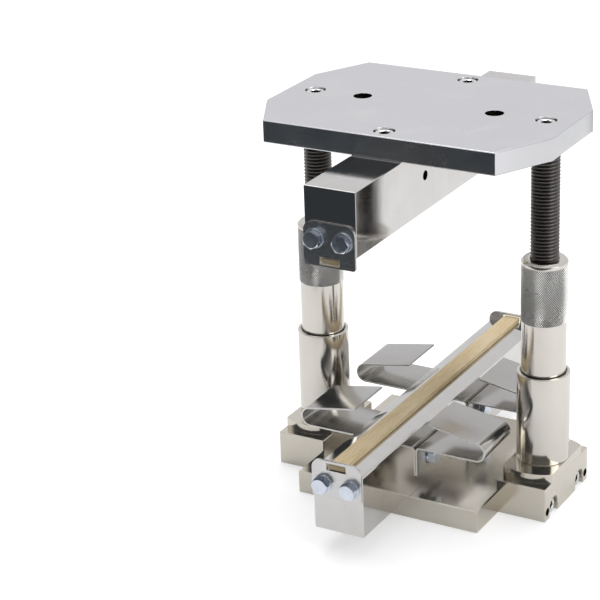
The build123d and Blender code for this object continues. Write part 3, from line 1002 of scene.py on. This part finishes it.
def cap_screw(name, head_radius, head_height, socket, length, shank_radius):
    """A socket cap screw with a knurled head, a rounded top edge and a hexagon socket, seated on z 0."""
    bm = bmesh.new()
    count = 96
    groove = 0.22

    def grooved(z):
        return lambda angle, i: (head_radius - (groove if i % 2 else 0.0), z)

    def hexagon(z):
        return lambda angle, i: (hexagon_wall(socket, angle), z)

    points = (
        even(shank_radius * 0.85, -length),
        even(shank_radius, 1.2 - length),
        even(shank_radius, 0.0),
        even(head_radius - 0.5, 0.0),
        even(head_radius - 0.1, 0.4),
        grooved(0.9),
        grooved(head_height - 1.4),
        even(head_radius - 0.1, head_height - 1.0),
        even(head_radius - 0.35, head_height - 0.35),
        even(head_radius - 1.0, head_height),
        even(socket / 2 + 0.95, head_height),
        even(socket / 2 + 0.72, head_height - 0.12),
        hexagon(head_height - 0.75),
        hexagon(head_height * 0.5),
        even(0.4, head_height * 0.5 - socket * 0.16),
    )
    skin(bm, [ring_of(bm, count, point) for point in points])
    mesh = mesh_from(bm, name)
    shade_by_angle(mesh, 28)
    return add_object(name, mesh)


hex_bolt = hexagon_bolt()
washer = plain_washer()
m10_screw = cap_screw("m10 cap screw", 8.0, 10.0, socket=8.0, length=30.0, shank_radius=5.0)
m8_screw = cap_screw("m8 cap screw", 6.5, 8.0, socket=6.0, length=28.25, shank_radius=4.0)


def bolt_on(name, body, places, turns):
    """Washers on their (place, facing) rows, and a bolt turned to its own angle on each washer."""
    flat = [(place, facing, 0.0) for place, facing in places]
    proud = [
        (Vector(place) + M8_WASHER * Vector(facing), facing, turn)
        for (place, facing), turn in zip(places, turns)
    ]
    rings = placed(f"{name}_washers_finished", washer, flat, ZINC)
    give(rings, body, "zinc_plated_steel", ZINC, f"{name}_washers")
    bolts = placed(f"{name}_bolts_finished", hex_bolt, proud, ZINC)
    give(bolts, body, "zinc_plated_steel", ZINC, f"{name}_bolts")


def stop_places(z):
    return [
        ((side * STOP_BOLT_HALF, way * STOP_FACE, z), (0, way, 0)) for way in SIDES for side in SIDES
    ]


hairpin_places = [
    ((side * HAIRPIN_FACE, way * HAIRPIN_Y, HAIRPIN_BOLT_Z), (side, 0, 0)) for side in SIDES for way in SIDES
]
bolt_on("lower_stop", "base", stop_places(LOWER_STOP_BOLT_Z), (6.0, 20.0, 52.0, 33.0))
bolt_on("upper_stop", "crosshead", stop_places(UPPER_STOP_BOLT_Z), (30.0, 0.0, 17.0, 41.0))
bolt_on("hairpin", "base", hairpin_places, (14.0, 38.0, 27.0, 3.0))

UP = (0, 0, 1)
DOWN = (0, 0, -1)
PLATE_SEAT = PLATE_TOP - COUNTERBORE_DEPTH
M10_SOCKET = (4.5, 9.4)
M8_SOCKET = (3.4, 7.4)
CAP_SCREWS = (
    (
        "upper_bar_screws", "crosshead", m10_screw, M10_SOCKET,
        (((0, -UPPER_BAR_SCREW_Y, PLATE_SEAT), UP, 12.0), ((0, UPPER_BAR_SCREW_Y, PLATE_SEAT), UP, 41.0)),
    ),
    (
        "rod_screws", "crosshead", m10_screw, M10_SOCKET,
        (((-COLUMN_X, 0, PLATE_SEAT), UP, 25.0), ((COLUMN_X, 0, PLATE_SEAT), UP, 4.0)),
    ),
    (
        "lower_bar_screws", "base", m10_screw, M10_SOCKET,
        (
            ((0, -LOWER_BAR_SCREW_Y, COUNTERBORE_DEPTH), DOWN, 8.0),
            ((0, LOWER_BAR_SCREW_Y, COUNTERBORE_DEPTH), DOWN, 33.0),
        ),
    ),
    (
        "foot_screws", "base", m8_screw, M8_SOCKET,
        tuple(
            ((side * FOOT_SCREW_X, way * FOOT_SCREW_Y, FOOT_HOLE_Z), (side, 0, 0), turn)
            for side, way, turn in ((-1, -1, 5), (-1, 1, 40), (1, -1, 20), (1, 1, 50))
        ),
    ),
)


def in_sockets(seats, radius, depth):
    """A test for the walls and floors of the sockets of seated screws."""

    def chosen(centre, normal):
        for place, facing, _ in seats:
            axis = Vector(facing)
            offset = centre - Vector(place)
            rise = offset.dot(axis)
            if (offset - rise * axis).length < radius and 0 < rise < depth:
                return True
        return False

    return chosen


for node, body, template, socket, seats in CAP_SCREWS:
    screws = placed(f"{node}_finished", template, seats, PLATED)
    give(screws, body, "plated_screw_steel", PLATED, node)
    # The sockets' walls and floors get painted shade
    repaint(screws, SOCKET_SHADE, in_sockets(seats, *socket))
for template in (hex_bolt, washer, m10_screw, m8_screw):
    bpy.data.objects.remove(template)


# Hairpin springs


def hairpin_path():
    """The strip's middle line from the flange's lower edge to the free tip, in X and Z."""
    bend_steps = 8
    loop_steps = 24
    bend_x = FLANGE_X + BEND_RADIUS
    bend_z = LEAF_Z - BEND_RADIUS
    path = [(FLANGE_X, FLANGE_BOTTOM), (FLANGE_X, FLANGE_MIDDLE), (FLANGE_X, bend_z)]
    for i in range(1, bend_steps + 1):
        a = math.pi - math.pi / 2 * i / bend_steps
        path.append((bend_x + BEND_RADIUS * math.cos(a), bend_z + BEND_RADIUS * math.sin(a)))
    path.append((LEAF_MIDDLE, LEAF_Z))
    path.append((LOOP_X, LEAF_Z))
    for i in range(1, loop_steps + 1):
        a = -math.pi / 2 + (math.pi - LEAF_LIFT) * i / loop_steps
        path.append((LOOP_X + LOOP_RADIUS * math.cos(a), LEAF_Z + LOOP_RADIUS + LOOP_RADIUS * math.sin(a)))
    rise_x, rise_z = path[-1]
    tip_z = rise_z + (rise_x - TIP_X) * math.tan(LEAF_LIFT)
    path.append(((rise_x + TIP_X) / 2, (rise_z + tip_z) / 2))
    path.append((TIP_X, tip_z))
    return path


def drill(piece, place):
    """A bolt hole along X through the flange."""
    tool = bmesh.new()
    aim = Matrix.Translation(Vector(place) * MM) @ Matrix.Rotation(math.pi / 2, 4, "Y")
    radius = STRIP_HOLE_RADIUS * MM
    bmesh.ops.create_cone(
        tool, cap_ends=True, segments=48, radius1=radius, radius2=radius, depth=6.0 * MM, matrix=aim
    )
    cutter = add_object("hole cutter", mesh_from(tool, "hole cutter"))
    cut = piece.modifiers.new("bolt hole", "BOOLEAN")
    cut.operation = "DIFFERENCE"
    cut.object = cutter
    cut.solver = "EXACT"
    baked(piece)
    bpy.data.objects.remove(cutter)


def hairpin(name, side, y):
    """A bent strip with rounded edges: a flange, a tight bend, a leaf, a loop and a rising free leaf."""
    path = hairpin_path()
    half, wide = STRIP_HALF, STRIP_HALF_WIDTH
    section = softened(((-half, -wide), (half, -wide), (half, wide), (-half, wide)), 0.35)
    bm = bmesh.new()
    rings = []
    for i, (px, pz) in enumerate(path):
        ax, az = path[max(0, i - 1)]
        bx, bz = path[min(len(path) - 1, i + 1)]
        run = Vector((bx - ax, bz - az)).normalized()
        normal = Vector((run.y, -run.x))
        stretch = 1.0
        if 0 < i < len(path) - 1:
            first = Vector((px - ax, pz - az)).normalized()
            stretch = 1.0 / max(0.3, first.dot(run))
        ring = []
        for offset, across in section:
            x = side * (px + normal.x * offset * stretch)
            z = pz + normal.y * offset * stretch
            ring.append(bm.verts.new(Vector((x, y + across, z)) * MM))
        rings.append(ring)
    for low, high in zip(rings, rings[1:]):
        bridge(bm, low, high)
    bm.faces.new(rings[0])
    bm.faces.new(rings[-1])
    face_outwards(bm)
    piece = add_object(name, mesh_from(bm, name))
    drill(piece, (side * FLANGE_X, y, HAIRPIN_BOLT_Z))
    shade_by_angle(piece.data, 50)
    return piece


for row, y in (("front", -HAIRPIN_Y), ("rear", HAIRPIN_Y)):
    for hand, side in HANDS:
        spring = hairpin(f"{row}_{hand}_hairpin_bent", side, y)
        give(spring, "base", "spring_steel", SPRING, f"{row}_{hand}_hairpin")
        # The strip's sheared edges get a painted highlight
        repaint(spring, SHEARED_EDGE_HIGHLIGHT, lambda centre, normal: abs(normal.y) > 0.6)


# Flat pieces keep their solids' forms, with rounded edges

DRESSED = (
    ("base_plate", "base", "nickel_plated_steel", NICKEL),
    ("left_foot", "base", "nickel_plated_steel", NICKEL),
    ("right_foot", "base", "nickel_plated_steel", NICKEL),
    ("lower_bar", "base", "ground_steel", GROUND),
    ("upper_bar", "crosshead", "ground_steel", GROUND),
    ("lower_front_stop", "base", "ground_steel", STOP_STEEL),
    ("lower_rear_stop", "base", "ground_steel", STOP_STEEL),
    ("upper_front_stop", "crosshead", "ground_steel", STOP_STEEL),
    ("upper_rear_stop", "crosshead", "ground_steel", STOP_STEEL),
    ("top_plate", "crosshead", "satin_plate_steel", SATIN),
    ("lower_strip", "base", "hardboard", BOARD),
    ("upper_strip", "crosshead", "hardboard", BOARD),
    ("foot_dowels", "base", "hardened_steel", HARDENED),
)
STOP_BEVEL = 0.1
BEVEL = 0.2


def side_holes(z):
    return [(side * BAR_SIDE, way * HAIRPIN_Y, z) for side in SIDES for way in SIDES]


def dowel_holes(side):
    return [(side * FOOT_END, way * DOWEL_Y, FOOT_HOLE_Z) for way in SIDES]


# The axis, the places and the radius of the holes whose walls and bottoms get painted shade
HOLES = {
    "top_plate": (
        2, [(side * PLATE_HOLE_X, 0, (PLATE_BOTTOM + PLATE_TOP) / 2) for side in SIDES], PLATE_HOLE_RADIUS
    ),
    "upper_bar": (0, side_holes(UPPER_SIDE_HOLE_Z), SIDE_HOLE_RADIUS),
    "lower_bar": (0, side_holes(HAIRPIN_BOLT_Z), SIDE_HOLE_RADIUS),
    "left_foot": (0, dowel_holes(-1), DOWEL_HOLE_RADIUS),
    "right_foot": (0, dowel_holes(1), DOWEL_HOLE_RADIUS),
}


def on_bores(axis, places, radius):
    """A test for the wall and the bottom of round holes along X (0), Y (1) or Z (2)."""
    others = [i for i in range(3) if i != axis]
    wall_slack = 0.3
    least_depth = 1.0

    def chosen(centre, normal):
        for place in places:
            off = math.hypot(*(centre[i] - place[i] for i in others))
            inward = sum((centre[i] - place[i]) * normal[i] for i in others) < 0
            wall = off < radius + wall_slack and abs(normal[axis]) < 0.5 and inward
            if wall or (off < radius and abs(centre[axis] - place[axis]) > least_depth):
                return True
        return False

    return chosen


for node, body, slot_name, material in DRESSED:
    copy = dressed(node, STOP_BEVEL if node.endswith("stop") else BEVEL)
    piece = give(copy, body, slot_name, material, node)
    if node in HOLES:
        # Hole walls and bottoms get painted shade
        repaint(piece, HOLE_SHADE, on_bores(*HOLES[node]))


# Floor, light and camera, in metres

WHITE = (1.0, 1.0, 1.0, 1.0)
FLOOR_TONE = (0.80, 0.80, 0.80, 1.0)
FLOOR_SEEN = 0.42
FLOOR_MIRRORED = 0.12
FLOOR_BACK = 3.0
FLOOR_FRONT = -0.46
FLOOR_SIDE = 3.0
ROOM_TONE = (0.78, 0.78, 0.80, 1.0)
DARK_TONE = (0.040, 0.046, 0.052, 1.0)


def floor_material():
    """A pale table that is white to the camera and keeps its shadows."""
    material, s, surface = surface_shader("white table")
    surface["Roughness"].default_value = 0.7
    surface["Base Color"].default_value = FLOOR_TONE
    rays = s.node("ShaderNodeLightPath").outputs
    seen = s.multiply(rays["Is Camera Ray"], FLOOR_SEEN)
    mirrored = s.multiply(rays["Is Glossy Ray"], FLOOR_MIRRORED)
    glow = s.node("ShaderNodeEmission", {"Color": WHITE, "Strength": s.add(seen, mirrored)})
    both = s.node("ShaderNodeAddShader")
    s.feed(s.tree.nodes["Principled BSDF"].outputs[0], both.inputs[0])
    s.feed(glow.outputs[0], both.inputs[1])
    s.feed(both.outputs[0], s.tree.nodes["Material Output"].inputs["Surface"])
    return material


def table_top():
    bm = bmesh.new()
    left, right = -FLOOR_SIDE, FLOOR_SIDE
    corners = ((left, FLOOR_FRONT), (right, FLOOR_FRONT), (right, FLOOR_BACK), (left, FLOOR_BACK))
    bm.faces.new([bm.verts.new((x, y, 0.0)) for x, y in corners])
    made = add_object("table", mesh_from(bm, "table"))
    made.data.materials.append(floor_material())
    return made


def studio_world():
    """A pale room whose dark side lies in front, below and a little above the horizon."""
    world = bpy.data.worlds.new("studio")
    world.use_nodes = True
    world.node_tree.nodes.clear()
    s = Shader(world.node_tree)
    _, y, z = s.split(s.node("ShaderNodeTexCoord").outputs["Generated"])
    toward_front = s.multiply(s.add(y, 0.10), -4.0, clamp=True)
    low_down = s.multiply(s.subtract(0.78, z), 4.0, clamp=True)
    room = s.mix(s.multiply(toward_front, low_down), ROOM_TONE, DARK_TONE)
    seen = s.mix(s.node("ShaderNodeLightPath").outputs["Is Camera Ray"], room, WHITE)
    background = s.node("ShaderNodeBackground", {"Color": seen})
    s.node("ShaderNodeOutputWorld", {"Surface": background.outputs[0]})
    return world


def softbox(name, place, width, height, power):
    """A rectangular lamp that faces the jig."""
    lamp = bpy.data.lights.new(name, "AREA")
    lamp.shape = "RECTANGLE"
    lamp.size = width
    lamp.size_y = height
    lamp.energy = power
    holder = add_object(name, lamp)
    holder.location = place
    aim = Vector((0, 0, 0.15)) - Vector(place)
    holder.rotation_euler = aim.to_track_quat("-Z", "Y").to_euler()


def photo_camera():
    lens = bpy.data.cameras.new("camera")
    lens.sensor_width = 36.0
    lens.lens = 125.46
    lens.clip_start = 0.05
    lens.clip_end = 20.0
    camera = add_object("camera", lens)
    camera.location = (0.7385, -1.4639, 0.8418)
    camera.rotation_euler = [math.radians(a) for a in (67.526, 1.976, 29.797)]
    return camera


table = table_top()
softbox("overhead softbox", (-0.2, 0.3, 1.6), 1.4, 1.2, 14.0)
softbox("right softbox", (1.5, -0.3, 1.0), 1.0, 1.0, 7.0)
bpy.context.scene.world = studio_world()
bpy.context.scene.camera = photo_camera()
bpy.context.scene.view_settings.view_transform = "Standard"
